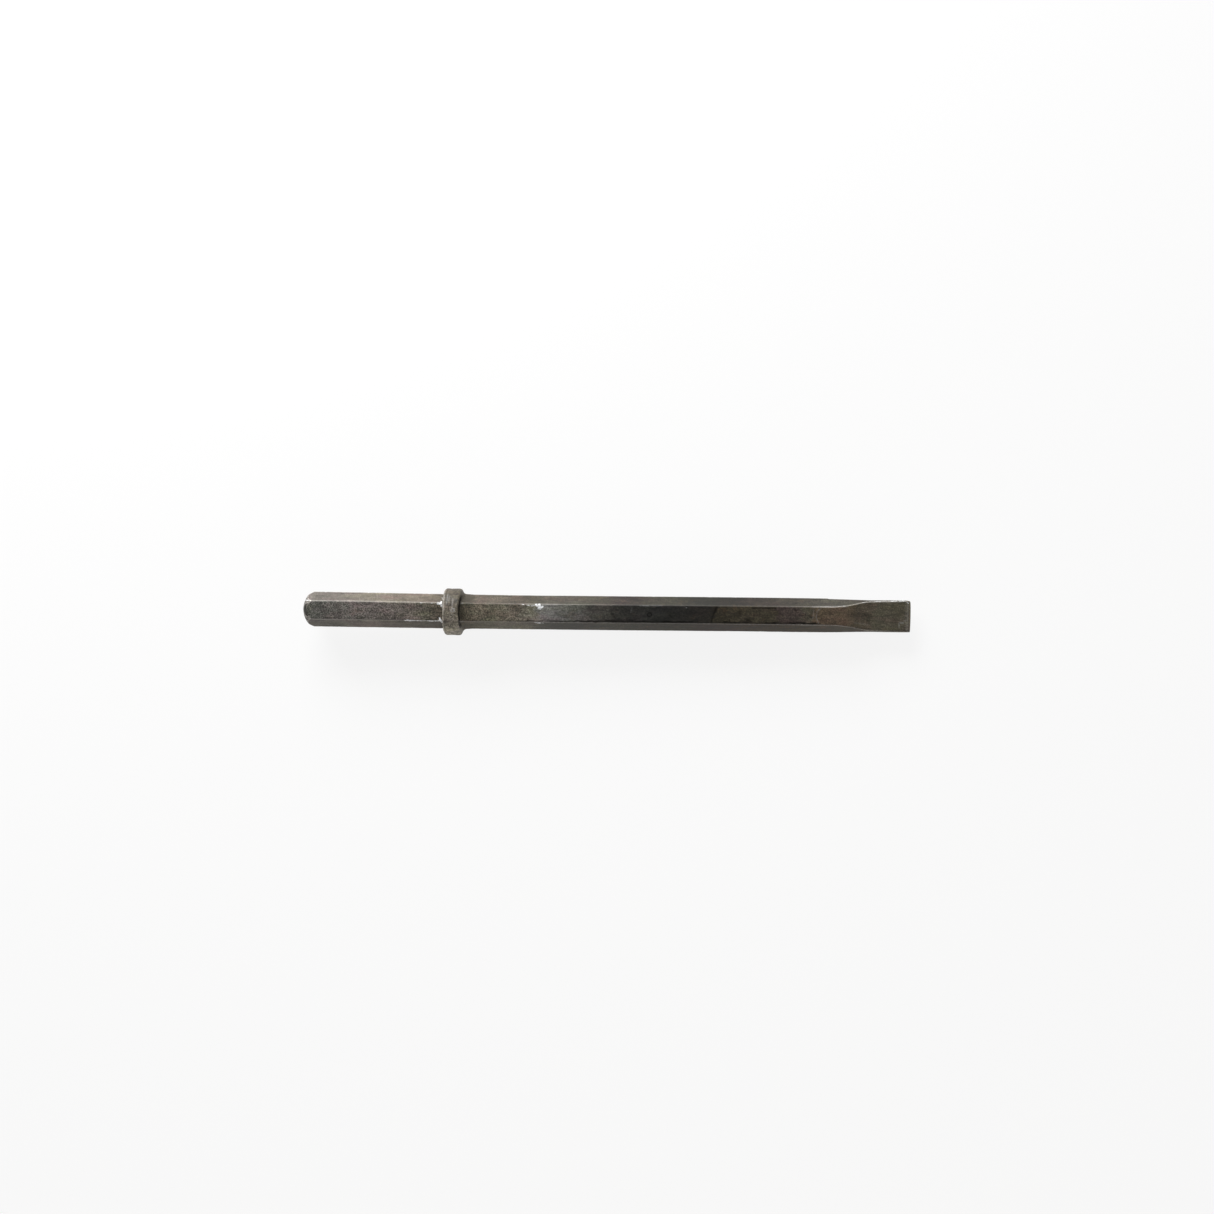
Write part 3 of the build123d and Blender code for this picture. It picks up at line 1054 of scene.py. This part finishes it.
def painted_edge_shade(g, position):
    """The painted shade just inside the broad faces' -Y edges, a dark line, from 0 to 1."""
    x, y, _ = g.split(position)
    wander = g.noise(position, *EDGE_SHADE_PATTERN)
    uneven = g.span(wander, *NOISE_RANGE, -EDGE_SHADE_WANDER, EDGE_SHADE_WANDER)
    inset = g.math("ADD", g.attribute("face"), uneven)
    line = g.math("MULTIPLY", g.span(inset, *EDGE_SHADE_INSET), g.span(inset, *EDGE_SHADE_REACH, 1.0, 0.0))
    broken = g.span(g.noise(position, *EDGE_SHADE_GAP_PATTERN), *EDGE_SHADE_GAPS)
    line = g.math("MULTIPLY", g.math("MULTIPLY", line, broken), g.math("LESS_THAN", y, 0.0))
    along_bar = g.math("MULTIPLY", g.span(x, *EDGE_SHADE_START), g.span(x, *EDGE_SHADE_END, 1.0, 0.0))
    return g.math("MULTIPLY", line, g.span(along_bar, 0, 1, *EDGE_SHADE_STRENGTH))


def bare_metal(g, position):
    """How far the ridges and rims are rubbed bright, and how freshly the steel is chipped."""
    fray = g.noise(position, *FRAY_PATTERN)
    worn = g.span(fray, *NOISE_RANGE, *RUBBED_FRAY)
    rubbed = g.math("MULTIPLY", g.attribute("rubbed"), worn, clamp=True)
    chips = g.math("MULTIPLY", g.attribute("chips_and_glints"), g.span(fray, *FRAY_RANGE, *CHIP_FRAY))
    chips = g.span(chips, *CHIP_ONSET)
    scratches = g.math("MULTIPLY", g.attribute("scratched"), g.span(fray, *FRAY_RANGE, *SCRATCH_FRAY))
    return rubbed, g.math("MAXIMUM", chips, scratches, clamp=True)


def forged_steel():
    """Dark forging scale, stained in places, with rubbed ridges, bright fresh chips, painted highlights
    and glints, painted shade, and painted light and shade on the collar.
    """
    g = Graph("forged_steel")
    position = g.node("TexCoord", {}, "Object")
    position = g.node("VectorMath", {0: position, "Scale": 1 / MM}, operation="SCALE")
    grain = g.noise(position, *GRAIN_PATTERN)
    fine = g.noise(position, *FINE_PATTERN)
    stain_and_shade = g.math("MULTIPLY", g.attribute("stain_and_shade"), STAIN_AND_SHADE_SHARE)
    # Painted shade: the dark line along the -Y edges joins the stains
    stain_and_shade = g.math("MAXIMUM", stain_and_shade, painted_edge_shade(g, position))
    rubbed, chips_and_glints = bare_metal(g, position)

    colour = mottled(g, position, zone_colour(g, position), grain)
    # Stains, grime and painted shade darken the colour
    colour = g.mix(stain_and_shade, colour, GRIME_AND_PAINTED_SHADE)
    colour = g.mix(rubbed, colour, RUBBED_STEEL)
    # Bare chips, painted highlights and glints, painted near white
    colour = g.mix(chips_and_glints, colour, g.ramp(fine, FRESH_STEEL_AND_GLINT))

    bare = g.math("MAXIMUM", rubbed, chips_and_glints)
    roughness = g.math("ADD", g.span(grain, *NOISE_RANGE, *SCALE_ROUGHNESS),
                       g.math("MULTIPLY", bare, BARE_ROUGHNESS_CHANGE))
    metallic = g.math("MULTIPLY", g.span(rubbed, 0.0, 1.0, SCALE_METALLIC, RUBBED_METALLIC),
                      g.span(chips_and_glints, 0.0, 1.0, 1.0, CHIPPED_METALLIC_SHARE))
    specular = g.span(stain_and_shade, 0.0, 1.0, SCALE_SPECULAR, GRIME_AND_SHADE_SPECULAR)
    height = g.math("ADD", g.math("MULTIPLY", fine, FINE_RELIEF),
                    g.math("MULTIPLY", grain, GRAIN_RELIEF))
    bump = g.node("Bump", {"Strength": g.span(g.attribute("rough"), 0, 1, *RELIEF_STRENGTH),
                           "Distance": RELIEF_DEPTH, "Height": height})
    shader = g.node("BsdfPrincipled", {
        "Base Color": colour,
        "Roughness": roughness,
        "Metallic": metallic,
        "Specular IOR Level": specular,
        "Normal": bump,
    })
    g.node("OutputMaterial", {"Surface": shader})
    return g.material


# ---------------------------------------------------------------- stage, light and camera

# The picture at the bar's axis, in metres: its width, and the x and rise of the point in its middle
PICTURE_WIDTH = 1.321
PICTURE_CENTRE_X = 0.1767
PICTURE_CENTRE_UP = 0.0062

# The camera: its lens and sensor, and how far it leans off straight down and turns in the picture
LENS = 41.5
SENSOR = 36.0
CAMERA_LEAN = math.radians(2.3)
CAMERA_TURN = math.radians(0.725)

# The floor: its size in metres, the x where the collar touches it, and the room left for the
# collar's rough skin
FLOOR_SIZE = 30.0
COLLAR_CONTACT = 10.0
SKIN_ROOM = 0.3
FLOOR_COLOUR = (0.12, 0.12, 0.12, 1)
FLOOR_ROUGHNESS = 0.9
FLOOR_SPECULAR = 0.1
FLOOR_GLOW_COLOUR = (1, 1, 1, 1)
FLOOR_GLOW = 0.86

# Lights: places and sizes in metres, powers in watts
KEY_PLACE = (PICTURE_CENTRE_X - 0.75, 1.75, 0.85)
KEY_SIZE = (1.6, 0.9)
KEY_POWER = 66.0
KEY_COLOUR = (1.0, 1.0, 1.0)
FILL_PLACE = (PICTURE_CENTRE_X + 0.3, -1.9, 0.5)
FILL_SIZE = (2.0, 0.7)
FILL_POWER = 4.5
FILL_COLOUR = (1.0, 0.92, 0.82)

# Brightness of the surround by height of view: 0 at the horizon, 1 overhead
SKY = [
    (0.0, (0.97, 0.97, 0.97)),
    (0.25, (0.78, 0.78, 0.78)),
    (0.55, (0.25, 0.25, 0.25)),
    (1.0, (0.10, 0.10, 0.10)),
]


def floor():
    """A pale floor under the collar's rim and the wedge's lower corner, on which the bar lies."""
    slope = (COLLAR_RADIUS - HALF_FLATS) / (WEDGE_START - COLLAR_CONTACT)
    half = FLOOR_SIZE / 2
    mesh = bpy.data.meshes.new("floor")
    mesh.from_pydata([(-half, -half, 0), (half, -half, 0), (half, half, 0), (-half, half, 0)],
                     [], [(0, 1, 2, 3)])
    plane = bpy.data.objects.new("floor", mesh)
    bpy.context.scene.collection.objects.link(plane)
    plane.location = (COLLAR_CONTACT * MM, 0, -(COLLAR_RADIUS + SKIN_ROOM) * MM)
    plane.rotation_euler = (0, -math.atan(slope), 0)
    g = Graph("pale_floor")
    shader = g.node("BsdfPrincipled", {
        "Base Color": FLOOR_COLOUR,
        "Roughness": FLOOR_ROUGHNESS,
        "Specular IOR Level": FLOOR_SPECULAR,
        "Emission Color": FLOOR_GLOW_COLOUR,
        "Emission Strength": FLOOR_GLOW,
    })
    g.node("OutputMaterial", {"Surface": shader})
    mesh.materials.append(g.material)


def studio_world():
    """A surround that is pale at the horizon and dim overhead."""
    world = bpy.data.worlds.new("studio")
    world.use_nodes = True
    nodes, links = world.node_tree.nodes, world.node_tree.links
    direction = nodes.new("ShaderNodeTexCoord")
    split = nodes.new("ShaderNodeSeparateXYZ")
    ramp = nodes.new("ShaderNodeValToRGB")
    set_stops(ramp, SKY)
    links.new(direction.outputs["Generated"], split.inputs[0])
    links.new(split.outputs["Z"], ramp.inputs["Fac"])
    links.new(ramp.outputs["Color"], nodes["Background"].inputs["Color"])
    bpy.context.scene.world = world


def soft_light(name, place, target, size, power, colour):
    """A rectangular softbox at place that looks at target."""
    data = bpy.data.lights.new(name, "AREA")
    data.shape = "RECTANGLE"
    data.size, data.size_y = size
    data.energy = power
    data.color = colour
    light = bpy.data.objects.new(name, data)
    light.location = place
    light.rotation_mode = "QUATERNION"
    light.rotation_quaternion = (Vector(target) - Vector(place)).to_track_quat("-Z", "Y")
    bpy.context.scene.collection.objects.link(light)


def camera():
    """The camera looks down on the broad face, with +Y up in the picture."""
    distance = PICTURE_WIDTH * LENS / SENSOR
    right = Vector((math.cos(CAMERA_TURN), math.sin(CAMERA_TURN), 0))
    level_up = Vector((-math.sin(CAMERA_TURN), math.cos(CAMERA_TURN), 0))
    back = level_up * math.sin(CAMERA_LEAN) + Vector((0, 0, math.cos(CAMERA_LEAN)))
    up = back.cross(right)
    target = Vector((PICTURE_CENTRE_X, 0, 0)) + up * PICTURE_CENTRE_UP
    data = bpy.data.cameras.new("camera")
    data.lens, data.sensor_width = LENS, SENSOR
    made = bpy.data.objects.new("camera", data)
    turned = Matrix((right, up, back)).transposed().to_4x4()
    made.matrix_world = Matrix.Translation(target + back * distance) @ turned
    bpy.context.scene.collection.objects.link(made)
    bpy.context.scene.camera = made


camera()
chisel = forged_chisel()
chisel.data.materials.append(forged_steel())
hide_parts("chisel")
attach(chisel, "root")

floor()
studio_world()
middle = (PICTURE_CENTRE_X, 0, 0)
soft_light("key", KEY_PLACE, middle, KEY_SIZE, KEY_POWER, KEY_COLOUR)
soft_light("fill", FILL_PLACE, middle, FILL_SIZE, FILL_POWER, FILL_COLOUR)
bpy.context.scene.view_settings.view_transform = "Standard"
